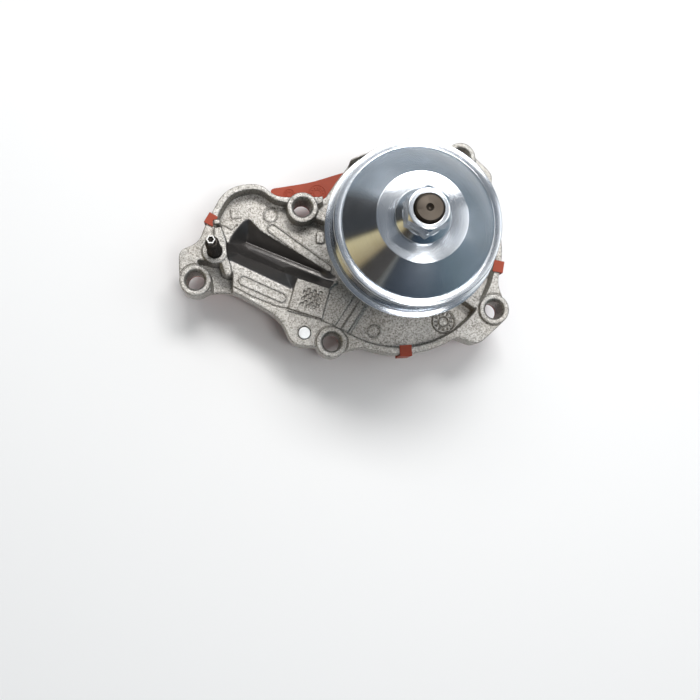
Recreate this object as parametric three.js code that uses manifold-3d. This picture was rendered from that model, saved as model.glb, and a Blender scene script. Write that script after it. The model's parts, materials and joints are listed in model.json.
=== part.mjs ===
// Belt-driven engine water pump with a poly-V pulley, a die-cast cover and a moulded gasket carrier.
// Millimetres. Z is the shaft axis and points at the pulley; z = 0 is the casting's gasket face.
import * as THREE from "three";
import { mergeVertices } from "three/addons/utils/BufferGeometryUtils.js";
import Module from "manifold-3d";

const wasm = await Module();
wasm.setup();

// ---- driving dimensions ---------------------------------------------------------------------

const BOSS_TOP = 15;            // bolt seats above the gasket face
const RIM_TOP = 14;             // top of the raised rim
const FLOOR = 6;                // top of the thin skin inside the rim
const WEST_FLOOR = 4;           // low ledge between the left bolt boss and the lobe
const GAP = 0.3;                // clearance kept between neighbouring pieces

const BOSS_R = 8;               // M8 bolt bosses
const BORE_R = 4.25;            // M8 clearance
const MOUTH_R = 5.7;            // countersunk mouth of each bolt hole
const BOSSES = {
  left: [-103.9, -18.7],
  upper: [-50, 19.9],
  lower: [-34.8, -49.4],
  right: [49.9, -31.6],
  top: [33, 48.6],
};
const PIN = { x: -48.7, y: -44.8, r: 3.1, low: -7, high: 14.2 };
const STUD = { x: -94.3, y: -3.7, r: 3.45, bossR: 6.4, bossTop: 15.8, low: 4, high: 37, tip: 44 };

const RIM_IN = 51.2;            // inner wall of the rim round the shaft
const RIM_OUT = 55.2;
const NECK = { baseR: 27, r: 20.5, topR: 19, top: 70 };
const SEAL_BORE = { r: 18.4, depth: 14 };
const DRAIN_R = 14.2;           // chamber between the seal and the bearing
const WEEP = { r: 2, z: 21 };
const BEARING = { low: 28, high: 68, outR: 15, inR: 12.6 };

const SHAFT_R = 7.96;
const THREAD_R = 6;             // M12
const SHAFT = { low: -19.5, shoulder: 74, high: 100.2 };
const BALL = { r: 2.6, pitchR: 10.6, z: 58, count: 8 };
const ROLLER = { r: 2.2, pitchR: 10.46, z: 38, half: 5, count: 10 };

const PULLEY = {
  rear: 54.8, rearR: 41.3, front: 73, lipR: 38.45, crestR: 37.9, rootR: 35.2, boreR: 32.4,
  coneR: 34.9, discR: 20.5, disc: 83, ribs: 4, pitch: 3.56,
};
const NUT = { flangeR: 12.6, hexAcross: 18, low: 83.3, flangeTop: 87, high: 98 };
const IMPELLER = { r: 31, back: -3.2, web: -6, low: -17, hubR: 12.5, vanes: 7 };

// ---- plane curves ----------------------------------------------------------------------------

const rad = (degrees) => degrees * Math.PI / 180;

function arc(x, y, r, fromDeg, toDeg, steps) {
  return Array.from({ length: steps + 1 }, (_, i) => {
    const a = rad(fromDeg + (toDeg - fromDeg) * i / steps);
    return [x + r * Math.cos(a), y + r * Math.sin(a)];
  });
}

// A polygon of [x, y, reach] corners; a corner with a reach is rounded off over that length.
function rounded(corners, steps = 3) {
  const out = [];
  corners.forEach(([x, y, reach], i) => {
    if (!reach) {
      out.push([x, y]);
      return;
    }
    const n = corners.length;
    const towards = ([px, py]) => {
      const length = Math.hypot(px - x, py - y);
      const t = Math.min(reach, 0.48 * length) / length;
      return [x + (px - x) * t, y + (py - y) * t];
    };
    const [ax, ay] = towards(corners[(i + n - 1) % n]);
    const [bx, by] = towards(corners[(i + 1) % n]);
    for (let k = 0; k <= steps; k++) {
      const t = k / steps;
      const u = 1 - t;
      out.push([u * u * ax + 2 * u * t * x + t * t * bx, u * u * ay + 2 * u * t * y + t * t * by]);
    }
  });
  return out;
}

// A closed curve moved sideways; positive distances grow a counter-clockwise curve.
function offset(points, distance) {
  const n = points.length;
  return points.map(([x, y], i) => {
    const [ax, ay] = points[(i + n - 1) % n];
    const [bx, by] = points[(i + 1) % n];
    const length = Math.hypot(bx - ax, by - ay);
    return [x + distance * (by - ay) / length, y - distance * (bx - ax) / length];
  });
}

const circle = (x, y, r, steps = 24) => arc(x, y, r, 0, 360 - 360 / steps, steps - 1);

// A slot: two points joined by a band of half-width r with round ends.
function slot([ax, ay], [bx, by], r) {
  const heading = Math.atan2(by - ay, bx - ax) * 180 / Math.PI;
  return [...arc(bx, by, r, heading - 90, heading + 90, 8), ...arc(ax, ay, r, heading + 90, heading + 270, 8)];
}

// ---- solids ----------------------------------------------------------------------------------

// Turns a closed three.js geometry into a solid with its faces pointing out.
function solid(geometry) {
  geometry.deleteAttribute("normal");
  geometry.deleteAttribute("uv");
  const merged = mergeVertices(geometry);
  const position = merged.attributes.position;
  const corner = (i) => new THREE.Vector3().fromBufferAttribute(position, i);
  const faces = [];
  let volume = 0;
  for (let i = 0; i < merged.index.count; i += 3) {
    const [a, b, c] = merged.index.array.slice(i, i + 3);
    if (a === b || b === c || c === a) continue;
    faces.push([a, b, c]);
    volume += corner(a).dot(corner(b).cross(corner(c)));
  }
  const outward = volume > 0 ? faces : faces.map(([a, b, c]) => [a, c, b]);
  return new wasm.Manifold(new wasm.Mesh({
    numProp: 3,
    vertProperties: new Float32Array(position.array),
    triVerts: new Uint32Array(outward.flat()),
  }));
}

// Frames for extrusions: the profile's x and y directions and the direction it is pushed in.
const frame = (x, y, push, at = [0, 0, 0]) => (
  new THREE.Matrix4().makeBasis(new THREE.Vector3(...x), new THREE.Vector3(...y), new THREE.Vector3(...push))
    .setPosition(...at)
);

// Profile x outwards, y up, pushed sideways.
function sideOn(degrees, at) {
  const [c, s] = [Math.cos(rad(degrees)), Math.sin(rad(degrees))];
  return frame([c, s, 0], [0, 0, 1], [s, -c, 0], at);
}

// Profile x sideways, y up, pushed outwards.
function outwards(degrees) {
  const [c, s] = [Math.cos(rad(degrees)), Math.sin(rad(degrees))];
  return frame([-s, c, 0], [0, 0, 1], [c, s, 0]);
}

function extruded(profile, from, to, place = new THREE.Matrix4()) {
  const shape = new THREE.Shape(profile.map(([u, v]) => new THREE.Vector2(u, v)));
  const geometry = new THREE.ExtrudeGeometry(shape, { depth: to - from, bevelEnabled: false });
  return solid(geometry.translate(0, 0, from).applyMatrix4(place));
}

// Joins a low and a high ring of equally many [x, y, z] points into a tapered block.
function drafted(low, high) {
  const n = low.length;
  const plan = (ring) => ring.map(([x, y]) => new THREE.Vector2(x, y));
  const index = [];
  for (let i = 0; i < n; i++) {
    const j = (i + 1) % n;
    index.push(i, j, n + j, i, n + j, n + i);
  }
  THREE.ShapeUtils.triangulateShape(plan(low), []).forEach(([a, b, c]) => index.push(c, b, a));
  THREE.ShapeUtils.triangulateShape(plan(high), []).forEach(([a, b, c]) => index.push(n + a, n + b, n + c));
  const geometry = new THREE.BufferGeometry();
  geometry.setAttribute("position", new THREE.Float32BufferAttribute([...low, ...high].flat(), 3));
  return solid(geometry.setIndex(index));
}

// A profile of [radius, height] that starts and ends on the axis, turned about the Z axis.
function turned(profile, steps = 28) {
  const points = profile.map(([r, z]) => new THREE.Vector2(r, z));
  return solid(new THREE.LatheGeometry(points, steps).rotateX(Math.PI / 2));
}

// The same for a profile that stays off the axis and closes on itself.
const ringOf = (profile, steps) => turned([...profile, profile[0]], steps);

const cylinder = (x, y, r, low, high, steps = 24) => extruded(circle(x, y, r, steps), low, high);
const tube = (inner, outer, low, high) => (
  ringOf([[inner, low], [outer, low], [outer, high], [inner, high]])
);
const joined = (solids) => solids.reduce((whole, piece) => whole.add(piece));
const cut = (body, tools) => tools.reduce((whole, tool) => whole.subtract(tool), body);

// ---- outlines in plan ------------------------------------------------------------------------

// Outer edge of the casting, counter-clockwise from the lower bolt boss.
const OUTLINE = rounded([
  [-34.8, -56], [-27.5, -53.8, 3],
  ...arc(0, 0, RIM_OUT, -110, -57, 12),
  [41.5, -50.2, 4], [55.5, -37.5, 2], [56, -28], [52.6, -19.5, 4],
  ...arc(0, 0, RIM_OUT - 0.4, -16, 27, 10),
  [50, 36.5, 3], [49.8, 41, 5], [40.5, 49.5], [35, 56], [26, 54.5, 4],
  ...arc(0, 0, 52.5, 78, 118, 9),
  [-33.5, 34, 6], [-38.5, 26, 4], [-57, 25.3], [-64.3, 25.8, 5], [-72.5, 33, 10],
  [-89.5, 29.5, 9], [-99.3, 10.2, 3], [-102.4, 0.8, 5], [-112.5, -3.4, 4], [-111.9, -18],
  [-104, -26.6], [-97, -24, 3], [-86, -23.2, 8], [-60.5, -37.6, 8], [-55.2, -51.2, 6],
  [-42, -51.8, 2],
]);

// Sunken floor of the lobe, inside the rim and above the deep pocket.
const LOBE_FLOOR = rounded([
  [-93.5, 8], [-92.6, 15, 2], [-86.8, 26, 6], [-73, 29.6, 8], [-65, 23.2, 5], [-58, 22], [-42, 21.5],
  [-36, 24.5, 3], [-26, 38, 6], [-10, 30], [-15, -14], [-31, -18], [-38, -15], [-82, 3],
  [-88.4, 2.2],
]);

// The deep pocket: top edge, edge at the lobe's floor, narrow valley, and the wall cast round that valley.
const POCKET_TOP = [
  [-80, 13.2], [-88.4, 1.2], [-87.5, -7.5], [-55, -22.5], [-52.5, -16.5], [-36, -20.5], [-32.5, -14.5],
  [-71.5, 9], [-75.8, 13.4],
];
const POCKET_MIDDLE = [
  [-79.4, 14.6], [-87.6, 2.6], [-84.9, -3.2], [-56.2, -15.8], [-52.2, -13.2], [-37, -17.6], [-33.4, -14.8],
  [-71.5, 10.2], [-75.6, 14.6],
];
const POCKET_LOW = [
  [-80.2, 6.8, -1.6], [-81.2, 4.6, -2], [-80.4, 2.6, -2], [-57, -6.2, 0], [-52, -8.4, 1], [-41.5, -13.4, 3],
  [-39.5, -11, 3.4], [-72, 3.6, -1.4], [-78, 7, -2],
];
const SHELL_LOW = [
  [-82.4, 9.6, -5], [-84.4, 4.4, -5], [-82.4, -0.6, -5], [-58.6, -10, -3.4], [-53.4, -12.2, -2.4],
  [-42, -17, -1], [-36, -11, -1], [-70.4, 6.6, -5], [-76.6, 10.6, -5],
];

// Low ledge beside the left bolt boss, open at the edge of the casting.
const WEST_LEDGE = rounded([
  [-102.6, -8.6, 1], [-97, -9.5], [-92.6, -10], [-90.8, -15.8, 1], [-85.8, -14.5], [-85.8, -26],
  [-96, -27], [-95.2, -19, 3], [-99.5, -13.5, 2],
]);

// Small square peg beside the left rim clip.
const PEG = rounded([[-95.2, 9.6, 1], [-91.4, 9.6, 1], [-91.4, 12.4, 1], [-95.2, 12.4, 1]]);

// Flat arm that joins the peg and the stud's seat and ends over the low ledge.
const ARM = rounded([
  [-95.2, 8.6], [-91, 9.4], [-89.4, 4.8, 3], [-87.4, -1, 3], [-87.2, -6.9, 2], [-85.9, -10.4, 2],
  [-85.2, -15.2, 1.2], [-86.3, -16.4, 1], [-89.4, -16.2, 1], [-91.2, -10.6], [-95.4, -2],
]);

// Wetted area on the engine side: the chamber round the impeller and the duct in the lobe.
const WET = rounded([
  ...arc(0, 0, 43, -135, 142, 24),
  [-44, 8.5, 5], [-60, 9, 5], [-69, 21.5, 6], [-85, 20.5, 6], [-86, -9, 5], [-60, -25, 4],
]);

// Where the sunken floor round the neck gives way to the solid web below the lobe, and two steps in that web.
const RECESS_LIMIT = [
  [-70, -70], [-25.3, -45.5], [-15, -28.5], [-15, -14], [-34, -14], [-44, 60], [-70, 60],
];
const WEB_STEPS = [
  { top: 12.6, outline: [[-40, -38.3], [-33, -41], [-19.5, -20], [-15, -14], [-31, -18], [-36, -22]] },
  { top: 11.2, outline: [[-33, -41], [-25.3, -45.5], [-15, -28.5], [-15, -14], [-19.5, -20]] },
];

// Raised pad beside the lower locating pin.
const PAD = [[-52.5, -16.5], [-57.5, -33.5], [-40, -38.3], [-35.6, -22]];

// Webs between the rim and the neck: direction, reach from the shaft, width and height at the neck.
const GUSSETS = [
  [-35, 52, 5.5, 26], [56, 52, 5.5, 26], [-123, 52, 4, 26],
  [158, 46, 5.5, 22], [100, 51, 3.5, 20], [10, 51, 3.5, 20],
];

// Part of the gasket carrier that shows in the notch between the lobe and the round rim.
const CARRIER_WEB = rounded([
  [-66, 24], [-66.5, 33.2, 2], [-45, 37.2, 6], [-29.5, 42.5], [-20, 45], [-24, 34], [-40, 24],
]);

// ---- casting ---------------------------------------------------------------------------------

function boltBoss([x, y]) {
  return cylinder(x, y, BOSS_R, 0, BOSS_TOP);
}

function boltHole([x, y]) {
  const bore = cylinder(x, y, BORE_R, -10, BOSS_TOP + 1);
  const at = (r, z) => circle(x, y, r).map(([px, py]) => [px, py, z]);
  const depth = MOUTH_R - BORE_R;
  return bore.add(drafted(at(BORE_R, BOSS_TOP - depth), at(MOUTH_R + 1, BOSS_TOP + 1)));
}

function neckOutside() {
  const flare = arc(NECK.r + 9, FLOOR + 11, 9, 270, 180, 6);
  return turned([
    [0, 2], [NECK.baseR + 4, 2], [NECK.baseR + 4, FLOOR + 0.5], ...flare.map(([r, z]) => [r, z - 1.5]),
    [NECK.topR, NECK.top - 1], [NECK.topR - 1, NECK.top], [0, NECK.top],
  ]);
}

function neckBores() {
  return turned([
    [0, -5], [SEAL_BORE.r, -5], [SEAL_BORE.r, SEAL_BORE.depth], [DRAIN_R, SEAL_BORE.depth],
    [DRAIN_R, BEARING.low - GAP], [BEARING.outR + GAP, BEARING.low - GAP],
    [BEARING.outR + GAP, NECK.top + 1], [0, NECK.top + 1],
  ]);
}

// Sloping web from the rim up to the neck.
function gusset([degrees, reach, width, rise]) {
  const side = [
    [DRAIN_R + 5, 3], [reach, 3], [reach, RIM_TOP - 1], [NECK.r + 8, RIM_TOP - 1], [DRAIN_R + 5, rise],
  ];
  return extruded(side, -width / 2, width / 2, sideOn(degrees));
}

function slotFrame(from, to, r, low, high) {
  return cut(extruded(slot(from, to, r), low, high), [extruded(slot(from, to, r - 0.5), low - 1, high + 1)]);
}

function pumpHousing() {
  const ring = cylinder(0, 0, RIM_IN, FLOOR, 40, 72).subtract(extruded(RECESS_LIMIT, 0, 50));
  const edge = POCKET_MIDDLE.map(([x, y]) => [x, y, FLOOR]);
  const pocket = drafted(POCKET_LOW, edge).add(drafted(edge, POCKET_TOP.map(([x, y]) => [x, y, RIM_TOP + 3])));
  const pocketWall = drafted(SHELL_LOW, offset(POCKET_TOP, 3).map(([x, y]) => [x, y, FLOOR + 2]));

  let body = extruded(OUTLINE, 0, RIM_TOP);
  body = cut(body, [
    extruded(LOBE_FLOOR, FLOOR, 40),
    ring,
    extruded(WEST_LEDGE, WEST_FLOOR, 40),
    ...WEB_STEPS.map(({ top, outline }) => extruded(outline, top, 40)),
    extruded(offset(WET, -1), -1, 2.6),
  ]);
  body = joined([
    body,
    ...Object.values(BOSSES).map(boltBoss),
    cylinder(STUD.x, STUD.y, STUD.bossR, 0, STUD.bossTop),
    extruded(ARM, 2, BOSS_TOP + 0.2),
    extruded(PEG, 2, 17),
    extruded(PAD, 10, RIM_TOP + 0.7),
    slotFrame([-65.5, 9.4], [-39.6, -7.6], 2.9, FLOOR - 0.5, FLOOR + 0.5),
    slotFrame([-80, -18.6], [-60.8, -26.4], 2.7, RIM_TOP - 0.5, RIM_TOP + 0.4),
    pocketWall.intersect(extruded(offset(WET, -1.4), -20, FLOOR)),
    neckOutside(),
    ...GUSSETS.map(gusset),
  ]);
  return cut(body, [
    pocket,
    neckBores(),
    ...Object.values(BOSSES).map(boltHole),
    cylinder(PIN.x, PIN.y, PIN.r + GAP, -10, 20),
    cylinder(STUD.x, STUD.y, STUD.r + GAP, STUD.low - GAP, 30),
    extruded(circle(0, WEEP.z, WEEP.r, 16), 5, 60, outwards(-90)),
  ]);
}

// ---- gasket ----------------------------------------------------------------------------------

const CARRIER = { low: -2, high: -GAP, beadIn: 1.8, beadOut: 4.2 };

// Hook that folds from the carrier up the outer wall and over the rim at [x, y].
function rimClip(x, y, degrees, reach, width) {
  const hook = [
    [-reach, RIM_TOP + GAP], [GAP, RIM_TOP + GAP], [GAP, CARRIER.high], [-3, CARRIER.high],
    [-3, CARRIER.low], [1.1, CARRIER.low], [1.1, RIM_TOP + 0.8], [0.8, BOSS_TOP + 0.1], [-reach, BOSS_TOP + 0.1],
  ];
  return extruded(hook, -width / 2, width / 2, sideOn(degrees, [x, y, 0]));
}

function gasketCarrier() {
  const plate = joined([
    extruded(offset(OUTLINE, -0.6), CARRIER.low, CARRIER.high),
    extruded(CARRIER_WEB, CARRIER.low, CARRIER.high),
    rimClip(-97.6, 13.3, 151, 3.8, 5.8),
    rimClip(54.1, -9.3, -9.5, 4.4, 6),
    rimClip(3.4, -55.2, -86.6, 4.6, 6.2),
  ]);
  const groove = cut(extruded(offset(WET, CARRIER.beadOut + GAP), CARRIER.low - 1, CARRIER.low + 1), [
    extruded(offset(WET, CARRIER.beadIn - GAP), CARRIER.low - 2, CARRIER.low + 2),
  ]);
  return cut(plate, [
    extruded(WET, -10, 10),
    groove,
    extruded(offset(PEG, GAP), 5, 20),
    cylinder(PIN.x, PIN.y, PIN.r + 0.6, -10, 10),
    ...Object.values(BOSSES).map(([x, y]) => cylinder(x, y, BORE_R + 0.4, -10, 10)),
  ]);
}

function gasketBead() {
  const [low, high] = [CARRIER.low - 0.7, CARRIER.low + 1 - GAP];
  return cut(extruded(offset(WET, CARRIER.beadOut), low, high), [
    extruded(offset(WET, CARRIER.beadIn), low - 1, high + 1),
  ]);
}

// ---- fixed hardware --------------------------------------------------------------------------

function locatingPin() {
  const { r, low, high } = PIN;
  return turned([[0, low], [r - 0.8, low], [r, low + 1.2], [r, high - 0.3], [r - 0.3, high], [0, high]], 24);
}

function studBolt() {
  const { r, low, high, tip } = STUD;
  const body = turned([
    [0, low], [r - 0.8, low], [r, low + 0.8], [r, high - 2.4], [r - 1.3, high], [0, high],
  ], 24);
  const lobes = Array.from({ length: 36 }, (_, i) => {
    const a = rad(i * 10);
    const reach = 2 + 0.2 * Math.cos(6 * a);
    return [reach * Math.cos(a), reach * Math.sin(a)];
  });
  const drive = cut(extruded(lobes, high - 1, tip), [cylinder(0, 0, 1.1, tip - 2.5, tip + 1, 24)]);
  return body.add(drive);
}

function bearingRing() {
  const { low, high, outR, inR } = BEARING;
  const race = ROLLER.pitchR + ROLLER.r + GAP;
  const groove = arc(BALL.pitchR, BALL.z, BALL.r + GAP, -46, 46, 4);
  return ringOf([
    [inR, low], [outR - 0.5, low], [outR, low + 0.5], [outR, high - 0.5], [outR - 0.5, high], [inR, high],
    ...groove.reverse(),
    [inR, 44], [race, 43.6], [race, 32.4], [inR, 32],
  ]);
}

const lipSeal = (low) => ringOf([
  [SHAFT_R + GAP, low], [12.3, low], [12.3, low + 1.6], [9.6, low + 1.6], [SHAFT_R + GAP, low + 0.7],
]);

function sealCup() {
  return ringOf([[9.6, 12.4], [9.6, 13.4], [18.1, 13.4], [18.1, -0.9], [17.3, -0.9], [17.2, 12.4]]);
}

function sealBellows() {
  return ringOf([
    [9.7, 12.1], [9.7, 5.9], [12.2, 5.9], [12.9, 6.6], [12.2, 7.4], [13.1, 8.2], [12.2, 9], [13.1, 9.8],
    [12.4, 10.8], [16.8, 12.1],
  ]);
}

// A coil for the ExtrudeGeometry path, rising as it turns.
class Coil extends THREE.Curve {
  constructor(r, low, high, turns) {
    super();
    Object.assign(this, { r, low, high, turns });
  }

  getPoint(t, target = new THREE.Vector3()) {
    const a = 2 * Math.PI * this.turns * t;
    return target.set(this.r * Math.cos(a), this.r * Math.sin(a), this.low + (this.high - this.low) * t);
  }
}

function sealSpring() {
  const wire = new THREE.Shape(circle(0, 0, 0.55, 6).map(([u, v]) => new THREE.Vector2(u, v)));
  const path = new Coil(15.2, 4.6, 10.2, 3);
  return solid(new THREE.ExtrudeGeometry(wire, { steps: 54, extrudePath: path, bevelEnabled: false }));
}

const sealCarbon = () => ringOf([[8.7, 2.1], [11.4, 2.1], [11.4, 3.2], [12.8, 3.2], [12.8, 5.6], [8.7, 5.6]]);

// ---- rotor -----------------------------------------------------------------------------------

function pumpShaft() {
  const race = arc(BALL.pitchR, BALL.z, BALL.r + GAP, 204.5, 155.5, 4);
  const { low, shoulder, high } = SHAFT;
  return turned([
    [0, low], [SHAFT_R - 0.8, low], [SHAFT_R, low + 0.8],
    ...race,
    [SHAFT_R, shoulder], [THREAD_R, shoulder], [THREAD_R, high - 0.3], [THREAD_R - 0.3, high],
    [1.7, high], [0.5, high - 1.4], [0, high - 1.6],
  ]);
}

// Poly-V pulley: ribbed belt band, bulged cone, flat front disc and a clamping hub behind it.
function pulley() {
  const p = PULLEY;
  const bandTop = p.front - 1.6;
  const grooves = [];
  for (let i = 0; i < p.ribs; i++) {
    const z = bandTop - i * p.pitch;
    grooves.push([p.crestR, z], [p.rootR, z - 1.5], [p.rootR, z - 2.05], [p.crestR, z - p.pitch + 0.02]);
  }
  return ringOf([
    [THREAD_R + GAP, 74.4], [12.6, 74.4], [13, 74.8], [13, 79.4], [18.6, 79.4], [p.boreR, 69.4],
    [p.boreR, p.rear + 0.5], [p.boreR + 0.5, p.rear], [p.rearR - 0.5, p.rear], [p.rearR, p.rear + 0.5],
    [p.rearR, p.rear + 1.3], [p.crestR, bandTop - p.ribs * p.pitch - 0.4],
    ...grooves.reverse(),
    [p.crestR, bandTop + 0.1], [p.lipR, bandTop + 0.3], [p.lipR, p.front - 0.4], [p.lipR - 0.4, p.front],
    [p.coneR + 0.6, p.front], [p.coneR + 0.5, p.front - 0.6], [p.coneR, p.front - 0.6],
    [p.coneR - 0.3, p.front - 0.1], [p.discR, p.disc], [THREAD_R + GAP, p.disc],
  ], 40);
}

function flangeNut() {
  const { flangeR, hexAcross, low, flangeTop, high } = NUT;
  const corner = hexAcross / 2 / Math.cos(rad(30));
  const cone = turned([
    [0, low - 1], [corner + 3, low - 1], [corner + 3, high - 3.6], [hexAcross / 2 - 0.4, high], [0, high],
  ]);
  const hex = extruded(arc(0, 0, corner, 30, 330, 5), low, high).intersect(cone);
  const flange = turned([
    [0, low], [flangeR - 0.3, low], [flangeR, low + 0.3], [flangeR, low + 1.2],
    [corner - 0.6, flangeTop], [0, flangeTop],
  ]);
  const bore = turned([
    [0, low - 1], [THREAD_R + GAP, low - 1], [THREAD_R + GAP, high - 0.9],
    [THREAD_R + 1.2, high], [THREAD_R + 1.2, high + 1], [0, high + 1],
  ]);
  return hex.add(flange).subtract(bore);
}

function impellerVane(degrees) {
  const { r, hubR, web, low } = IMPELLER;
  const spine = Array.from({ length: 9 }, (_, i) => {
    const t = i / 8;
    return [hubR - 1.5 + (r - hubR + 1.2) * t, degrees + 48 * t * t ** 0.3];
  });
  const side = (half) => spine.map(([reach, turn]) => {
    const a = rad(turn) + half / reach;
    return [reach * Math.cos(a), reach * Math.sin(a)];
  });
  return extruded([...side(-1.1), ...side(1.1).reverse()], low, web + 1);
}

function impeller() {
  const { r, back, web, low, hubR, vanes } = IMPELLER;
  const plate = turned([
    [0, low - 1], [hubR - 0.6, low - 1], [hubR, low - 0.4], [hubR, web - 1.5], [hubR + 1.5, web],
    [r, web], [r, back], [0, back],
  ]);
  const blades = Array.from({ length: vanes }, (_, i) => impellerVane(i * 360 / vanes));
  return cut(joined([plate, ...blades]), [cylinder(0, 0, 10, low - 3, 5)]);
}

const impellerBush = () => tube(SHAFT_R + GAP, 9.7, IMPELLER.low - 1, IMPELLER.back);

const sealSeat = () => ringOf([[9.4, -1], [12.2, -1], [12.2, 1.8], [8.6, 1.8], [8.6, 0.4], [9.4, 0.4]]);

const sealBoot = () => ringOf([
  [SHAFT_R + GAP, -2.9], [13.4, -2.9], [13.4, 1.2], [12.5, 1.2], [12.5, -1.3], [9.1, -1.3], [9.1, 0.1],
  [SHAFT_R + GAP, 0.1],
]);

// ---- rolling elements ------------------------------------------------------------------------

function ball() {
  const half = arc(0, 0, BALL.r, -90, 90, 6).map(([r, z]) => [Math.max(r, 0), z]);
  return turned(half, 12);
}

function roller() {
  const { r, half } = ROLLER;
  return turned([[0, -half], [r - 0.3, -half], [r, 0.3 - half], [r, half - 0.3], [r - 0.3, half], [0, half]], 14);
}

function ballCage() {
  const ring = tube(9.6, 11.6, BALL.z - 4, BALL.z + 4);
  const pockets = Array.from({ length: BALL.count }, (_, i) => (
    extruded(circle(0, BALL.z, BALL.r + GAP, 12), 7, 14, outwards(i * 360 / BALL.count))
  ));
  return cut(ring, pockets);
}

function rollerCage() {
  const half = ROLLER.half + GAP;
  const ring = tube(9.5, 11.4, ROLLER.z - half - 1.5, ROLLER.z + half + 1.5);
  const window = [[7, ROLLER.z - half], [14, ROLLER.z - half], [14, ROLLER.z + half], [7, ROLLER.z + half]];
  const slots = Array.from({ length: ROLLER.count }, (_, i) => (
    extruded(window, -ROLLER.r - GAP, ROLLER.r + GAP, sideOn(i * 360 / ROLLER.count))
  ));
  return cut(ring, slots);
}

// ---- assembly --------------------------------------------------------------------------------

const MATERIALS = {
  castAluminium: { color: 0xb4b2ac, roughness: 0.62, metalness: 0.75 },
  redPlastic: { color: 0xab4336, roughness: 0.55, metalness: 0 },
  blackRubber: { color: 0x1d1d1f, roughness: 0.8, metalness: 0 },
  zincSteel: { color: 0xc9ccd0, roughness: 0.22, metalness: 1 },
  groundSteel: { color: 0xb9bbbd, roughness: 0.25, metalness: 1 },
  blackSteel: { color: 0x35322f, roughness: 0.5, metalness: 0.8 },
  stainless: { color: 0xa9abac, roughness: 0.35, metalness: 1 },
  carbon: { color: 0x2a2a2c, roughness: 0.45, metalness: 0.1 },
  ceramic: { color: 0x4a4a4e, roughness: 0.3, metalness: 0 },
  darkPlastic: { color: 0x2b2b2d, roughness: 0.5, metalness: 0 },
  cagePlastic: { color: 0x4c3f2c, roughness: 0.5, metalness: 0 },
};

const pump = new THREE.Group();
pump.name = "water_pump";

function add(name, body, material, [x, y, z] = [0, 0, 0]) {
  const { vertProperties, triVerts } = body.getMesh();
  const geometry = new THREE.BufferGeometry();
  geometry.setAttribute("position", new THREE.BufferAttribute(new Float32Array(vertProperties), 3));
  geometry.setIndex(new THREE.BufferAttribute(new Uint32Array(triVerts), 1));
  const mesh = new THREE.Mesh(geometry, new THREE.MeshStandardMaterial(MATERIALS[material]));
  mesh.name = name;
  mesh.position.set(x, y, z);
  pump.add(mesh);
}

add("pump_housing", pumpHousing(), "castAluminium");
add("gasket_carrier", gasketCarrier(), "redPlastic");
add("gasket_bead", gasketBead(), "blackRubber");
add("locating_pin", locatingPin(), "groundSteel", [PIN.x, PIN.y, 0]);
add("stud_bolt", studBolt(), "blackSteel", [STUD.x, STUD.y, 0]);
add("bearing_outer_ring", bearingRing(), "groundSteel");
add("bearing_seal_rear", lipSeal(BEARING.low + 0.6), "blackRubber");
add("bearing_seal_front", lipSeal(BEARING.high - 2.4), "blackRubber");
add("seal_cup", sealCup(), "stainless");
add("seal_bellows", sealBellows(), "blackRubber");
add("seal_spring", sealSpring(), "stainless");
add("seal_carbon_ring", sealCarbon(), "carbon");
add("pump_shaft", pumpShaft(), "groundSteel");
add("pulley", pulley(), "zincSteel");
add("flange_nut", flangeNut(), "zincSteel");
add("impeller", impeller(), "darkPlastic");
add("impeller_bush", impellerBush(), "groundSteel");
add("seal_seat_ring", sealSeat(), "ceramic");
add("seal_seat_boot", sealBoot(), "blackRubber");
add("ball_cage", ballCage(), "cagePlastic");
add("roller_cage", rollerCage(), "cagePlastic");
const spun = (degrees, r, z) => [r * Math.cos(rad(degrees)), r * Math.sin(rad(degrees)), z];
for (let i = 0; i < BALL.count; i++) {
  add(`bearing_ball_${i + 1}`, ball(), "groundSteel", spun(i * 360 / BALL.count, BALL.pitchR, BALL.z));
}
for (let i = 0; i < ROLLER.count; i++) {
  add(`bearing_roller_${i + 1}`, roller(), "groundSteel", spun(i * 360 / ROLLER.count, ROLLER.pitchR, ROLLER.z));
}

export default pump;
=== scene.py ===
import json
import math

import bmesh
import bpy
import numpy as np
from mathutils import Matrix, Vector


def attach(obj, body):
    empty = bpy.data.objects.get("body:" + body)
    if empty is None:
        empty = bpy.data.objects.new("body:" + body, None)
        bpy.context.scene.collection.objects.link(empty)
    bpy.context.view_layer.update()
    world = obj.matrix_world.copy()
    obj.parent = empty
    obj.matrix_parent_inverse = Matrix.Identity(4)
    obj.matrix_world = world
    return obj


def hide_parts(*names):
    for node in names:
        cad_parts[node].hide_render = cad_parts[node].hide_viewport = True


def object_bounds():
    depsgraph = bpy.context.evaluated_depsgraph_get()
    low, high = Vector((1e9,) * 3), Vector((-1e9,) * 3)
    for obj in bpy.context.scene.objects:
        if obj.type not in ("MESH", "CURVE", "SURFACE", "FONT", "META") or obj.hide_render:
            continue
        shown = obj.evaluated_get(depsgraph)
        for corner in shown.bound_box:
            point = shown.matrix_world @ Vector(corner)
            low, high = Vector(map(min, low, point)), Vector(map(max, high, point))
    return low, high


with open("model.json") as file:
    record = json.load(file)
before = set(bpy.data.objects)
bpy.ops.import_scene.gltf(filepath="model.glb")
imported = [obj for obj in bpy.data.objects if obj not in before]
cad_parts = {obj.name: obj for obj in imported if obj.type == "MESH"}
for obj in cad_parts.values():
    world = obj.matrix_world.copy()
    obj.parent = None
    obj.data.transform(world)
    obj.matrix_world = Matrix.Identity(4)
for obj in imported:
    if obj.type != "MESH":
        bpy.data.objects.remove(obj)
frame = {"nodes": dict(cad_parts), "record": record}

import openvdb
from mathutils import Matrix, Vector

CAD_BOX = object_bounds()
MM = 0.001

# ---- driving dimensions, as in the CAD -------------------------------------------------------

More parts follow.
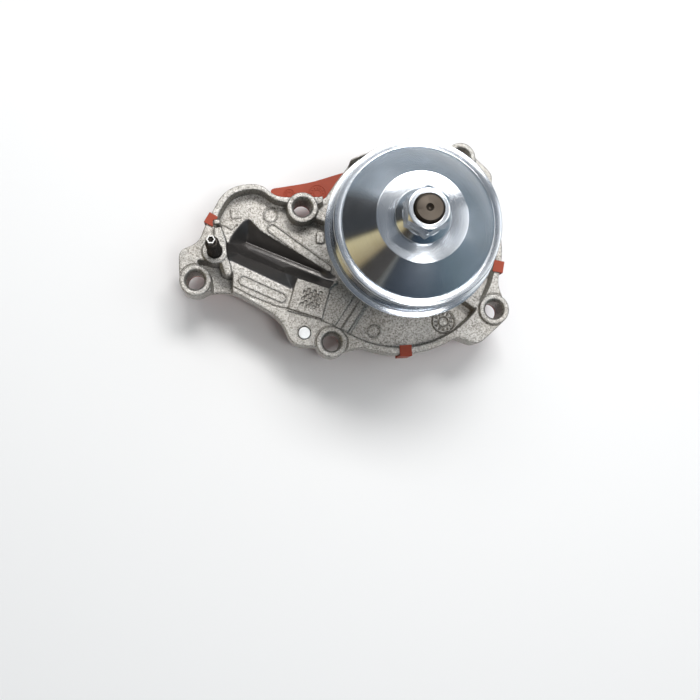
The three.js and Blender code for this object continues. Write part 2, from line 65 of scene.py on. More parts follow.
BOSS_TOP = 15.0
RIM_TOP = 14.0
FLOOR = 6.0
WEST_FLOOR = 4.0
WEB_WEST_TOP = 12.6
WEB_EAST_TOP = 11.2
WET_ROOF = 2.6
BOSS_R = 8.0
BORE_R = 4.25
MOUTH_R = 5.5
BOSSES = {"left": (-103.9, -18.7), "upper": (-50.0, 19.9), "lower": (-34.8, -49.4), "right": (49.9, -31.6),
          "top": (33.0, 48.6)}
PIN = {"at": (-48.7, -44.8), "r": 3.1, "low": -7.0, "high": 14.2}
STUD = {"at": (-94.3, -3.7), "r": 3.45, "boss_r": 6.4, "boss_top": 15.8, "low": 4.0, "high": 37.0,
        "tip": 44.0}
RIM_IN = 51.2
RIM_OUT = 55.2
NECK_R, NECK_TOP_R, NECK_TAPER_LOW, NECK_TOP = 20.5, 19.0, 17, 70.0
NECK_FLARE, NECK_FLARE_RISE = 9.0, 9.5
SEAL_BORE_R, SEAL_BORE_DEPTH = 18.4, 14.0
DRAIN_R, DRAIN_LOW, DRAIN_HIGH = 14.2, 8, 32
BEARING_LOW, BEARING_R = 27.7, 15.3
WEEP_Z, WEEP_R = 21.0, 2.0
PULLEY = {"rear": 54.8, "rear_r": 41.3, "front": 73.0, "lip_r": 38.45, "crest_r": 37.9, "root_r": 35.2,
          "bore_r": 32.4, "cone_r": 34.9, "disc_r": 20.5, "disc": 83.0, "ribs": 4, "pitch": 3.56,
          "hole_r": 6.3, "seat": 74.4, "band_top": 71.4}
NUT = {"flange_r": 12.6, "across": 18.0, "low": 83.3, "flange_top": 87.0, "high": 98.0, "flange_edge": 1.2,
       "bore_r": 6.25, "mouth_r": 6.8}
SHAFT = {"r": 7.96, "thread_r": 6.0, "low": -19.5, "shoulder": 74.0, "thread_low": 84, "high": 100.2}
IMPELLER = {"r": 31.0, "back": -3.2, "web": -6.0, "low": -17.0, "hub_r": 12.5, "vanes": 7, "sweep": 48,
            "bore_r": 10}
CARRIER_TOP = -0.3
CHECKER = {"at": (-45.3, -27.3), "turn": -15, "half": 4.8, "cell": 1.6, "depth": 0.2}

# Cuts that are open at the top end here, clear of the metal they cut.
OPEN_TOP = 30
# Grid steps of the pieces held as distances, and the furthest distance that their grids hold.
GRID_STEP = {"housing": 0.38, "web_dials": 0.2, "nut": 0.14, "impeller": 0.35}
FAR = 4.0
# The smooth-cast skin reaches this far past the cut that makes it.
SKIN = 0.3
# A thread's depth as a share of its pitch, and the rings of vertices in each of its turns.
THREAD_DEPTH = 0.6
THREAD_RINGS = 10

# ---- plane curves ----------------------------------------------------------------------------


def arc(x, y, r, start, stop, steps):
    """Points on an arc, angles in degrees."""
    angles = np.radians(np.linspace(start, stop, steps + 1))
    return [(x + r * math.cos(a), y + r * math.sin(a)) for a in angles]


def rounded(corners, steps=8):
    """A closed outline of corners (x, y), or (x, y, reach) where a corner is rounded off over that reach."""
    out = []
    count = len(corners)
    for i, corner in enumerate(corners):
        here = np.array(corner[:2], float)
        if len(corner) == 2:
            out.append(tuple(here))
            continue
        ends = []
        for other in (corners[i - 1], corners[(i + 1) % count]):
            step = np.array(other[:2], float) - here
            length = np.linalg.norm(step)
            ends.append(here + step * min(corner[2], 0.48 * length) / length)
        for t in np.linspace(0, 1, steps + 1):
            out.append(tuple((1 - t) ** 2 * ends[0] + 2 * t * (1 - t) * here + t * t * ends[1]))
    return out


OUTLINE = rounded([
    (-34.8, -56), (-27.5, -53.8, 3),
    *arc(0, 0, RIM_OUT, -110, -57, 24),
    (41.5, -50.2, 4), (55.5, -37.5, 2), (56, -28), (52.6, -19.5, 4),
    *arc(0, 0, RIM_OUT - 0.4, -16, 27, 18),
    (50, 36.5, 3), (49.8, 41, 5), (40.5, 49.5), (35, 56), (26, 54.5, 4),
    *arc(0, 0, 52.5, 78, 118, 18),
    (-33.5, 34, 6), (-38.5, 26, 4), (-57, 25.3), (-64.3, 25.8, 5), (-72.5, 33, 10),
    (-89.5, 29.5, 9), (-99.3, 10.2, 3), (-102.4, 0.8, 5), (-112.5, -3.4, 4), (-111.9, -18),
    (-104, -26.6), (-97, -24, 3), (-86, -23.2, 8), (-60.5, -37.6, 8), (-55.2, -51.2, 6),
    (-42, -51.8, 2),
])
LOBE_FLOOR = rounded([
    (-93.5, 8), (-92.6, 15, 2), (-86.8, 26, 6), (-73, 29.6, 8), (-65, 23.2, 5), (-58, 22), (-42, 21.5),
    (-36, 24.5, 3), (-26, 38, 6), (-10, 30), (-15, -14), (-31, -18), (-38, -15), (-82, 3), (-88.4, 2.2),
])
POCKET = rounded([
    (-78.2, 16.2, 3.5), (-85.5, 7.6, 5), (-88.4, 1.2, 2), (-87.5, -7.5, 1), (-55, -22.5), (-52.5, -16.5),
    (-36, -21.5), (-31.5, -14.5), (-71.5, 9),
])
WEST_LEDGE = rounded([
    (-102.6, -8.6, 1), (-97, -9.5), (-92.6, -10), (-90.8, -15.8, 1), (-85.8, -14.5), (-85.8, -26),
    (-96, -27), (-95.2, -19, 3), (-99.5, -13.5, 2),
])
WEB_WEST = [(-40, -38.3), (-33, -41), (-19.5, -20), (-15, -14), (-31, -18), (-36, -22)]
WEB_EAST = [(-33, -41), (-25.3, -45.5), (-15, -28.5), (-15, -14), (-19.5, -20)]
RIM_KEPT = [(-70, -70), (-25.3, -45.5), (-15, -28.5), (-15, -14), (-34, -14), (-44, 60), (-70, 60)]
PAD = [(-52.5, -16.5), (-57.5, -33.5), (-40, -38.3), (-35.6, -22)]
PEG = rounded([(-95.2, 9.6, 1), (-91.4, 9.6, 1), (-91.4, 12.4, 1), (-95.2, 12.4, 1)])
ARM = rounded([
    (-95.2, 8.6), (-91, 9.4, 1), (-89.4, 4.8, 3), (-87.4, -1, 3), (-87.2, -6.9, 2), (-85.9, -10.4, 2),
    (-85.2, -15.2, 1.2), (-86.3, -16.4, 1), (-89.4, -16.2, 1), (-91.2, -10.6, 1), (-95.4, -2),
])
BLOCK = rounded([(-42.6, 3, 1.5), (-38.2, 2.8, 1.5), (-37.8, 9.2, 1.5), (-42.4, 9.2, 1.5)])
WET = rounded([
    *arc(0, 0, 43, -135, 142, 60),
    (-44, 8.5, 5), (-60, 9, 5), (-69, 21.5, 6), (-85, 20.5, 6), (-86, -9, 5), (-60, -25, 4),
])
# The line of the pocket's bottom, its height at the first end and how far it climbs to the other.
VALLEY = ((-79.0, 4.6), (-40.5, -11.4))
VALLEY_LOW, VALLEY_CLIMB = -1.5, 4.5
# Outside the lobe's floor the pocket's edge reaches the plateau's height within this distance.
POCKET_EDGE = 6
# Webs up to the neck: heading in degrees, reach from the axis, width, height at the neck.
GUSSETS = [(-35, 52, 5.5, 26), (56, 52, 5.5, 26), (-123, 52, 4, 26), (158, 46, 5.5, 22), (100, 51, 3.5, 20),
           (10, 51, 3.5, 20)]
CREASE = [(-85.4, -21.5), (-74.4, -27.1), (-63.8, -31.2), (-56.9, -32.7), (-40.1, -37.8)]
SCORES = [[(-87.3, 19.3), (-86.7, 14.8), (-81.9, 15.5)], [(-90.7, 11.4), (-86.4, 9.2), (-83.4, 11.9)]]
# Raised circles on the sunken floors: place and radius.
MOULD_RINGS = [((-66.2, 17.6), 3.5), ((-12, -43), 3.2)]
RIM_DIAL = ((24.8, -37.4), 5.8)
WEB_DIALS = [((-41.5, 31.5), 4.4), ((-56.5, 30.4), 3.0)]

# ---- signed-distance casting -----------------------------------------------------------------


def outline_distance(points, x, y):
    """Signed distance to a closed outline in plan, negative inside, on a grid of x (n, 1) and y (1, m)."""
    nearest = np.full(np.broadcast(x, y).shape, 1e9, np.float32)
    inside = np.zeros(nearest.shape, bool)
    for (ax, ay), (bx, by) in zip(points, points[1:] + points[:1]):
        ex, ey = bx - ax, by - ay
        wx, wy = x - ax, y - ay
        length = ex * ex + ey * ey
        if length < 1e-12:
            continue
        t = np.clip((wx * ex + wy * ey) / length, 0, 1)
        nearest = np.minimum(nearest, (wx - ex * t) ** 2 + (wy - ey * t) ** 2)
        crossing = (ay <= y) != (by <= y)
        inside ^= crossing & ((ex * wy - ey * wx > 0) == (ey > 0))
    return np.where(inside, -1, 1) * np.sqrt(nearest)


def segment_distance(a, b, x, y):
    """Distance in plan to the straight line from a to b."""
    ex, ey = b[0] - a[0], b[1] - a[1]
    t = np.clip(((x - a[0]) * ex + (y - a[1]) * ey) / (ex * ex + ey * ey), 0, 1)
    return np.hypot(x - a[0] - ex * t, y - a[1] - ey * t)


def smooth_max(a, b, blend):
    """The larger of two distances, with the corner between them rounded over blend."""
    if not blend:
        return np.maximum(a, b)
    return np.maximum(a, b) + np.maximum(blend - np.abs(a - b), 0) ** 2 / (4 * blend)


def slab(z, low, high):
    """Signed distance to the space between two heights."""
    return np.abs(z - (low + high) / 2) - (high - low) / 2


class Casting:
    """A solid held as signed distances on a grid, so that joins and cuts can leave fillets."""

    def __init__(self, low, high, step):
        self.low, self.step = low, step
        counts = [int((b - a) / step) + 1 for a, b in zip(low, high)]
        axes = [a + step * np.arange(n, dtype=np.float32) for a, n in zip(low, counts)]
        self.x, self.y, self.z = axes[0][:, None, None], axes[1][None, :, None], axes[2][None, None, :]
        self.d = np.full(counts, FAR, np.float32)
        self.smooth = np.zeros(counts, bool)

    def part(self, box):
        """Slices of the grid over a box of (x0, x1, y0, y1, z0, z1)."""
        out = []
        for axis in range(3):
            a, b = (np.array(box[2 * axis:2 * axis + 2]) - self.low[axis]) / self.step
            out.append(slice(max(int(a), 0), max(int(b) + 2, 0)))
        return tuple(out)

    def shape(self, where, form):
        """A form's signed distances over some slices of the grid."""
        i, j, k = where
        return form(self.x[i], self.y[:, j], self.z[:, :, k])

    def add(self, form, box, blend=0.6):
        """Joins a form to the solid, within a box that holds it."""
        where = self.part(box)
        self.d[where] = -smooth_max(-self.d[where], -self.shape(where, form), blend)

    def cut(self, form, box, blend=0.6, smooth=False):
        """Takes a form out of the solid; smooth marks the surface that this leaves."""
        where = self.part(box)
        tool = -self.shape(where, form)
        self.smooth[where] &= self.d[where] > tool
        if smooth:
            self.smooth[where] |= tool > self.d[where] - SKIN
        self.d[where] = smooth_max(self.d[where], tool, blend)

    def mesh(self, name):
        """The zero surface as a mesh in metres, with its smooth-cast areas in a point attribute."""
        grid = openvdb.FloatGrid(FAR)
        grid.copyFromArray(np.minimum(self.d, FAR))
        points, quads = grid.convertToQuads(isovalue=0.0)
        mesh = bpy.data.meshes.new(name)
        places = (points * self.step + np.array(self.low)) * MM
        mesh.from_pydata(places.tolist(), [], quads[:, ::-1].tolist())
        nearest = tuple(np.rint(points).astype(int).T)
        mesh.attributes.new("smooth_skin_and_shade", "FLOAT", "POINT").data.foreach_set(
            "value", self.smooth[nearest].astype(np.float32))
        mesh.shade_smooth()
        return mesh


def prism(points, low, high, draft=0.0, edge=0.5):
    """An outline between two heights. Draft widens it upwards; edge rounds its top and bottom edges."""
    def form(x, y, z):
        plan = outline_distance(points, x[:, :, 0], y[:, :, 0])[:, :, None]
        return smooth_max(plan - draft * (z - low), slab(z, low, high), edge)
    return form


def cylinder(at, r, low, high, draft=0.0, edge=0.5):
    """An upright cylinder, with the draft and edge of a prism."""
    def form(x, y, z):
        side = np.hypot(x - at[0], y - at[1]) - r - draft * (z - low)
        return smooth_max(side, slab(z, low, high), edge)
    return form


def around(points, margin=2.0, low=-8.0, high=18.0):
    """The box of an outline with a margin, between two heights."""
    xs, ys = zip(*points)
    return (min(xs) - margin, max(xs) + margin, min(ys) - margin, max(ys) + margin, low, high)


def disc_box(at, r, low=-8.0, high=18.0):
    """The box of a circle, between two heights."""
    return (at[0] - r, at[0] + r, at[1] - r, at[1] + r, low, high)


def groove(line, width, depth, top):
    """A scored line along a run of points, cut into a flat at height top."""
    def form(x, y, z):
        near = np.minimum.reduce([segment_distance(a, b, x, y) for a, b in zip(line, line[1:])])
        return np.maximum(near - width / 2, top - depth - z)
    return form


def raised_ring(points, width, low, high):
    """A thin raised line that follows an outline."""
    def form(x, y, z):
        plan = np.abs(outline_distance(points, x[:, :, 0], y[:, :, 0]))[:, :, None] - width / 2
        return smooth_max(plan, slab(z, low, high), 0.2)
    return form


def capsule(a, b, r):
    """The outline of a slot with round ends, from a to b."""
    heading = math.degrees(math.atan2(b[1] - a[1], b[0] - a[0]))
    return arc(*b, r, heading - 90, heading + 90, 16) + arc(*a, r, heading + 90, heading + 270, 16)


def gusset(degrees, reach, width, rise):
    """A web from the rim that slopes up to the neck."""
    c, s = math.cos(math.radians(degrees)), math.sin(math.radians(degrees))
    foot, knee, crown = RIM_TOP - 1, NECK_R + 8, DRAIN_R + 5
    slope = (rise - foot) / (knee - crown)

    def form(x, y, z):
        out, side = x * c + y * s, y * c - x * s
        roof = z - foot - slope * np.clip(knee - out, 0, knee - crown)
        ends = np.maximum(np.maximum(out - reach, crown - 3 - out), 3 - z)
        return smooth_max(smooth_max(np.abs(side) - width / 2, roof * 0.8, 1.0), ends, 0)
    return form


def neck(x, y, z):
    """The tapered neck, flared where it meets the floor."""
    r = np.hypot(x, y)
    share = np.clip((z - NECK_TAPER_LOW) / (NECK_TOP - NECK_TAPER_LOW), 0, 1)
    taper = NECK_R + (NECK_TOP_R - NECK_R) * share
    drop = np.clip(FLOOR + NECK_FLARE_RISE - z, 0, NECK_FLARE)
    flare = NECK_FLARE - np.sqrt(np.maximum(NECK_FLARE ** 2 - drop ** 2, 0))
    return smooth_max((r - taper - flare) * 0.8, np.maximum(z - NECK_TOP, 2 - z), 1.0)


def neck_bore(x, y, z):
    """The seal's bore, the drain space above it and the bearing's bore."""
    r = np.hypot(x, y)
    seal = np.maximum(r - SEAL_BORE_R, z - SEAL_BORE_DEPTH)
    drain = np.maximum(r - DRAIN_R, slab(z, DRAIN_LOW, DRAIN_HIGH))
    bearing = np.maximum(r - BEARING_R, BEARING_LOW - z)
    return np.minimum(np.minimum(seal, drain), bearing)


def bolt_hole(at):
    """A through hole with a countersunk mouth in the boss's top."""
    def form(x, y, z):
        r = np.hypot(x - at[0], y - at[1])
        mouth = np.maximum((r - MOUTH_R - 0.6 * (z - BOSS_TOP)) * 0.85, BOSS_TOP - 2.0 - z)
        return np.minimum(r - BORE_R - 0.2, mouth)
    return form


def pocket(x, y, z):
    """A trough: its sides fall to a valley from the plateau on one side and the lobe's floor on the other."""
    x, y = x[:, :, 0], y[:, :, 0]
    plan = outline_distance(POCKET, x, y)
    inset = np.maximum(-plan, 0)
    run = segment_distance(*VALLEY, x, y)
    above_floor = np.clip(outline_distance(LOBE_FLOOR, x, y) / POCKET_EDGE, 0, 1)
    edge = FLOOR + (RIM_TOP - FLOOR) * above_floor
    along = np.clip((x - VALLEY[0][0]) / (VALLEY[1][0] - VALLEY[0][0]), 0, 1)
    bottom = VALLEY_LOW + VALLEY_CLIMB * along
    share = inset / (inset + run + 1e-3)
    fall = (edge - bottom) / (inset + run + 1e-3)
    floor = edge - (edge - bottom) * share
    steepness = np.hypot(1, np.clip(fall, 0, 3))
    return np.maximum((floor[:, :, None] - z) / steepness[:, :, None], plan[:, :, None])


def checker(x, y, z):
    """A plain chequered patch of shallow dimples on the pad, turned with it."""
    c = CHECKER
    turn = math.radians(c["turn"])
    dx, dy = x - c["at"][0], y - c["at"][1]
    u = dx * math.cos(turn) + dy * math.sin(turn)
    v = dy * math.cos(turn) - dx * math.sin(turn)
    patch = np.maximum(np.abs(u), np.abs(v)) - c["half"]
    cells = -0.8 * np.sin(math.pi * u / c["cell"]) * np.sin(math.pi * v / c["cell"])
    return np.maximum(np.maximum(patch, cells), RIM_TOP - c["depth"] - z)


def dial(at, r, ticks=12):
    """Raised marks like those of a mould's wear dial: a ring with short strokes round it."""
    def form(x, y, z):
        dx, dy = x - at[0], y - at[1]
        reach = np.hypot(dx, dy)
        sweep = np.arctan2(dy, dx) * ticks / (2 * math.pi)
        stroke = np.abs(sweep - np.rint(sweep)) * 2 * math.pi / ticks * reach
        strokes = np.maximum(stroke - 0.3, np.abs(reach - 0.72 * r) - 0.12 * r)
        rings = np.minimum(np.abs(reach - r), np.abs(reach - 0.45 * r)) - 0.25
        return np.minimum(strokes, rings)
    return form


def embossed(plan, low, high):
    """Turns a plan shape into a low relief."""
    def form(x, y, z):
        return smooth_max(plan(x, y, z), slab(z, low, high), 0.15)
    return form


def rim_recess(x, y, z):
    """The sunken floor round the neck."""
    limit = outline_distance(RIM_KEPT, x[:, :, 0], y[:, :, 0])[:, :, None]
    side = np.hypot(x, y) - RIM_IN - 0.035 * (z - FLOOR)
    return smooth_max(np.maximum(side, -limit), FLOOR - z, 0.8)


def pocket_wall(x, y, z):
    """The bulge under the plate that keeps metal under the pocket."""
    run = segment_distance(*VALLEY, x, y)
    return smooth_max(run - 6.5 - 0.5 * z, -5.0 - z, 1.5)


def weep(x, y, z):
    """The weep hole through the neck's south side."""
    return np.maximum(np.hypot(x, z - WEEP_Z) - WEEP_R, y + 5)


def cast_plate(body):
    """The plate with its rim, sunken floors, steps and wet side."""
    body.add(prism(OUTLINE, 0, RIM_TOP, edge=0.6), around(OUTLINE), 0)
    body.cut(prism(LOBE_FLOOR, FLOOR, OPEN_TOP, 0.035), around(LOBE_FLOOR), 0.8)
    body.cut(rim_recess, (-40, 56, -54, 54, -8, 18), 0.8)
    body.cut(prism(WEST_LEDGE, WEST_FLOOR, OPEN_TOP, 0.06), around(WEST_LEDGE), 0.6)
    body.cut(prism(WEB_WEST, WEB_WEST_TOP, OPEN_TOP), around(WEB_WEST), 0.4)
    body.cut(prism(WEB_EAST, WEB_EAST_TOP, OPEN_TOP), around(WEB_EAST), 0.4)
    body.cut(prism(WET, -8, WET_ROOF), around(WET, low=-7, high=4), 0.5)
    body.add(pocket_wall, (-94, -28, -26, 16, -5.5, 3), 1.0)


def cast_bosses(body):
    """The bolt and stud bosses, with the small raised blocks beside them."""
    for at in BOSSES.values():
        body.add(cylinder(at, BOSS_R, 0, BOSS_TOP, -0.008, 0.35), disc_box(at, 11), 0.3)
    body.add(cylinder(STUD["at"], STUD["boss_r"] + 0.3, 0, STUD["boss_top"], -0.02),
             disc_box(STUD["at"], 9), 0.3)
    body.add(prism(ARM, 2, BOSS_TOP + 0.3, -0.03), around(ARM), 0.5)
    body.add(prism(PEG, 2, 17.0, -0.02, 0.4), around(PEG), 0.3)
    body.add(prism(PAD, 10, RIM_TOP + 0.7, edge=0.3), around(PAD), 0.2)
    body.add(prism(BLOCK, 3, FLOOR + 0.8), around(BLOCK), 0.3)


def cast_marks(body):
    """Low relief: empty frames, mould circles, a wear dial, a chequered patch and scored lines."""
    upper_frame = capsule((-65.4, 10.6), (-36.8, -9.6), 2.3)
    lower_frame = capsule((-79.6, -18.2), (-60.4, -26.6), 2.3)
    body.add(raised_ring(upper_frame, 0.55, FLOOR - 0.6, FLOOR + 0.6), around(upper_frame), 0.1)
    body.add(raised_ring(lower_frame, 0.55, RIM_TOP - 0.6, RIM_TOP + 0.55), around(lower_frame), 0.1)
    for at, r in MOULD_RINGS:
        ring = arc(*at, r, 0, 350, 36)
        body.add(raised_ring(ring, 0.5, FLOOR - 0.6, FLOOR + 0.55), around(ring), 0.1)
    body.add(embossed(dial(*RIM_DIAL), FLOOR - 0.5, FLOOR + 0.7), disc_box(RIM_DIAL[0], 7), 0.1)
    for line in SCORES:
        body.cut(groove(line, 0.5, 0.5, FLOOR), around(line), 0.1)
    body.cut(groove(CREASE, 0.6, 0.5, RIM_TOP), around(CREASE, low=12), 0.2)
    body.cut(checker, around(PAD, low=12), 0.1)
    for name in ("left", "right", "lower"):
        ring = arc(*BOSSES[name], BOSS_R + 0.35, 0, 350, 60)
        body.cut(groove(ring + ring[:1], 0.5, 0.6, RIM_TOP), around(ring, low=12), 0.15)


def cast_holes(body):
    """The pocket, and the holes that other pieces and bolts go into."""
    body.cut(pocket, around(POCKET, 1), 0.6, smooth=True)
    body.cut(neck_bore, (-21, 21, -21, 21, -8, 73), 0.4)
    for at in BOSSES.values():
        body.cut(bolt_hole(at), disc_box(at, 8), 0.25)
    body.cut(cylinder(PIN["at"], PIN["r"] + 0.25, -9, 20, edge=0), disc_box(PIN["at"], 5), 0.3)
    body.cut(cylinder(STUD["at"], STUD["r"] + 0.25, STUD["low"] - 0.3, OPEN_TOP, edge=0),
             disc_box(STUD["at"], 6), 0.3)
    body.cut(weep, (-4, 4, -40, -4, 17, 25), 0.4)


def pump_casting():
    """The whole housing in one mesh."""
    body = Casting((-114, -59.5, -7), (60, 58.5, 72), GRID_STEP["housing"])
    cast_plate(body)
    cast_bosses(body)
    body.add(neck, (-33, 33, -33, 33, -2, 72), 1.2)
    for gusset_size in GUSSETS:
        body.add(gusset(*gusset_size), (-56, 56, -56, 56, 0, 34), 1.0)
    cast_marks(body)
    cast_holes(body)
    return body.mesh("casting")


# ---- turned and threaded pieces --------------------------------------------------------------


def piece(name, mesh, body, slot, *nodes):
    """A finished piece that rides on a body and stands for its CAD nodes."""
    made = bpy.data.objects.new(name, mesh)
    bpy.context.scene.collection.objects.link(made)
    made.data.materials.append(MATERIALS[slot])
    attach(made, body)
    if nodes:
        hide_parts(*nodes)
    return made


def eased(profile, reach=0.25, steps=3):
    """A closed profile of (r, z) points with every corner off the axis slightly rounded."""
    return rounded([(r, z, reach) if r > 0.01 else (r, z) for r, z in profile], steps)


def vertex(mesh, r, a, z):
    """A new vertex at a radius, an angle in radians and a height."""
    return mesh.verts.new((r * math.cos(a) * MM, r * math.sin(a) * MM, z * MM))


def bridge(mesh, rings):
    """Faces between each ring of vertices and the next."""
    for here, there in zip(rings, rings[1:]):
        for i in range(len(here)):
            j = (i + 1) % len(here)
            mesh.faces.new((here[i], here[j], there[j], there[i]))


def lathe(name, profile, steps=160, smooth=35):
    """A closed (r, z) profile turned about the Z axis."""
    mesh = bmesh.new()
    rings = []
    for k in range(steps):
        a = 2 * math.pi * k / steps
        rings.append([vertex(mesh, r, a, z) for r, z in profile])
    for k in range(steps):
        here, there = rings[k], rings[(k + 1) % steps]
        for i in range(len(profile)):
            j = (i + 1) % len(profile)
            mesh.faces.new((here[i], there[i], there[j], here[j]))
    return finished(mesh, name, smooth)


def finished(mesh, name, smooth):
    """A clean mesh with smooth shading and sharp edges where it turns by more than smooth, in degrees."""
    bmesh.ops.remove_doubles(mesh, verts=mesh.verts, dist=1e-7)
    bmesh.ops.dissolve_degenerate(mesh, edges=mesh.edges, dist=1e-8)
    bmesh.ops.recalc_face_normals(mesh, faces=mesh.faces)
    out = bpy.data.meshes.new(name)
    mesh.to_mesh(out)
    mesh.free()
    out.shade_smooth()
    out.set_sharp_from_angle(angle=math.radians(smooth))
    return out


def threaded_rod(name, r, pitch, low, high, chamfer, end, steps=72):
    """A rod with a helical V thread from low to high; end lists the (r, z) points that close its top."""
    depth = THREAD_DEPTH * pitch
    levels = int((high - low) / pitch * THREAD_RINGS)
    mesh = bmesh.new()
    rings = []
    for k in range(levels + 1):
        z = low + (high - low) * k / levels
        ring = []
        for i in range(steps):
            turn = (z / pitch - i / steps) % 1
            wave = abs(2 * turn - 1)
            fade = min(max((z - low) / pitch, 0), 1)
            reach = r - depth * fade * (1 - min(1.15 * wave, 1))
            reach = min(reach, r - chamfer + (high - z))
            ring.append(vertex(mesh, reach, 2 * math.pi * i / steps, z))
        rings.append(ring)
    for end_r, end_z in end:
        rings.append([vertex(mesh, end_r, 2 * math.pi * i / steps, end_z) for i in range(steps)])
    bridge(mesh, rings)
    mesh.faces.new(rings[0])
    mesh.faces.new(rings[-1])
    return finished(mesh, name, 40)


def pulley_profile():
    """Out along the underside, round the rear lip, up over the grooves, and in along the cone and disc."""
    p = PULLEY
    rear, front, band_top = p["rear"], p["front"], p["band_top"]
    crest, root, bore, cone = p["crest_r"], p["root_r"], p["bore_r"], p["cone_r"]
    underside = [(p["hole_r"], p["seat"]), (12.6, p["seat"]), (13, 74.8), (13, 79.4), (18.6, 79.4),
                 (bore, 69.4), (bore, rear + 0.5), (bore + 0.5, rear)]
    rear_lip = [(p["rear_r"] - 0.5, rear), (p["rear_r"], rear + 0.5), (p["rear_r"], rear + 1.6),
                (p["rear_r"] - 2.3, rear + 1.9), (root + 0.8, rear + 1.2)]
    grooves = [(crest, band_top - p["ribs"] * p["pitch"] - 0.1)]
    for i in reversed(range(p["ribs"])):
        z = band_top - i * p["pitch"]
        grooves += [(crest, z - p["pitch"] + 0.35), (root, z - 2.1), (root, z - 1.45), (crest, z - 0.15)]
    front_lip = [(crest, band_top + 0.1), (p["lip_r"], band_top + 0.3), (p["lip_r"], front - 0.4),
                 (p["lip_r"] - 0.4, front), (cone + 0.55, front), (cone + 0.5, front - 0.6)]
    face = [(cone, front - 0.6), (cone - 0.3, front - 0.1), (p["disc_r"], p["disc"]),
            (p["hole_r"], p["disc"])]
    return underside + rear_lip + grooves + front_lip + face


def flange_nut():
    """A hexagon nut with a turned flange, chamfered corners and a countersunk thread."""
    n = NUT
    body = Casting((-14.2, -14.2, n["low"] - 1), (14.2, 14.2, n["high"] + 1), GRID_STEP["nut"])
    corner = n["across"] / 2 / math.cos(math.radians(30))

    def hexagon(x, y, z):
        sides = [x * math.cos(math.radians(a)) + y * math.sin(math.radians(a)) for a in (0, 60, 120)]
        across = np.maximum.reduce([np.abs(s) for s in sides]) - n["across"] / 2
        cone = (np.hypot(x, y) - (n["across"] / 2 - 0.3) - 1.7 * (n["high"] - z)) * 0.5
        return smooth_max(smooth_max(across, cone, 0.1), slab(z, n["low"], n["high"]), 0.2)

    def flange(x, y, z):
        r = np.hypot(x, y)
        slope = (n["flange_top"] - n["low"] - n["flange_edge"]) / (n["flange_r"] - corner + 0.6)
        cone = (z - n["low"] - n["flange_edge"] - slope * (n["flange_r"] - r)) * 0.95
        ends = np.maximum(n["low"] - z, z - n["flange_top"])
        return smooth_max(smooth_max(r - n["flange_r"], cone, 0.4), ends, 0.3)

    def bore(x, y, z):
        r = np.hypot(x, y)
        return np.minimum(r - n["bore_r"], (r - n["mouth_r"] - 0.35 * (z - n["high"])) * 0.95)
    whole = (-15, 15, -15, 15, 80, 98)
    body.add(hexagon, whole, 0)
    body.add(flange, whole, 0.5)
    body.cut(bore, whole, 0.15)
    return body.mesh("nut")


# ---- materials -------------------------------------------------------------------------------


class Nodes:
    """A small helper round a material's node tree."""

    def __init__(self, name):
        self.material = bpy.data.materials.new(name)
        self.material.use_nodes = True
        self.tree = self.material.node_tree
        self.shader = self.tree.nodes["Principled BSDF"]
        self.place = self.tree.nodes.new("ShaderNodeTexCoord").outputs["Object"]

    def node(self, kind, **values):
        """A new node; values set its inputs where it has one of that name, and otherwise its options."""
        made = self.tree.nodes.new(kind)
        for key, value in values.items():
            if key in made.inputs.keys():
                made.inputs[key].default_value = value
            else:
                setattr(made, key, value)
        return made

    def link(self, a, b):
        self.tree.links.new(a, b)
        return b

    def noise(self, scale_mm, detail=3.0, roughness=0.6):
        """Noise with features about scale_mm across."""
        made = self.node("ShaderNodeTexNoise", Scale=1 / (scale_mm * MM), Detail=detail, Roughness=roughness)
        self.link(self.place, made.inputs["Vector"])
        return made.outputs["Fac"]

    def ramp(self, source, *stops):
        """A colour that runs through stops of (position, colour) with a number."""
        made = self.node("ShaderNodeValToRGB")
        elements = made.color_ramp.elements
        while len(elements) < len(stops):
            elements.new(0.5)
        for element, (position, colour) in zip(elements, stops):
            element.position = position
            element.color = (*colour, 1)
        self.link(source, made.inputs["Fac"])
        return made.outputs["Color"]

    def spread(self, source, low, high, from_low=0.3, from_high=0.7):
        """A number mapped from one range to another, and held at the ends."""
        made = self.node("ShaderNodeMapRange")
        limits = {"From Min": from_low, "From Max": from_high, "To Min": low, "To Max": high}
        for key, value in limits.items():
            made.inputs[key].default_value = value
        self.link(source, made.inputs["Value"])
        return made.outputs["Result"]

    def bump(self, source, height_mm, strength):
        made = self.node("ShaderNodeBump", Strength=strength, Distance=height_mm * MM)
        self.link(source, made.inputs["Height"])
        return made.outputs["Normal"]

    def mix(self, factor, a, b, blend="MIX"):
        """A colour mixed from a and b, each of them a socket or a colour."""
        made = self.node("ShaderNodeMix", data_type="RGBA", blend_type=blend)
        for value, index in ((factor, 0), (a, 6), (b, 7)):
            if isinstance(value, bpy.types.NodeSocket):
                self.link(value, made.inputs[index])
            else:
                made.inputs[index].default_value = value if index == 0 else (*value, 1)
        return made.outputs[2]

    def blend(self, factor, a, b):
        """A number that goes from a to b with a factor."""
        made = self.node("ShaderNodeMix", data_type="FLOAT")
        for value, index in ((factor, 0), (a, 2), (b, 3)):
            self.link(value, made.inputs[index])
        return made.outputs[0]

    def set(self, **values):
        """Links or sets inputs of the shader, and gives back the material."""
        for key, value in values.items():
            socket = self.shader.inputs[key.replace("_", " ").title().replace("Ior", "IOR")]
            if isinstance(value, bpy.types.NodeSocket):
                self.link(value, socket)
            else:
                socket.default_value = (*value, 1) if isinstance(value, tuple) else value
        return self.material


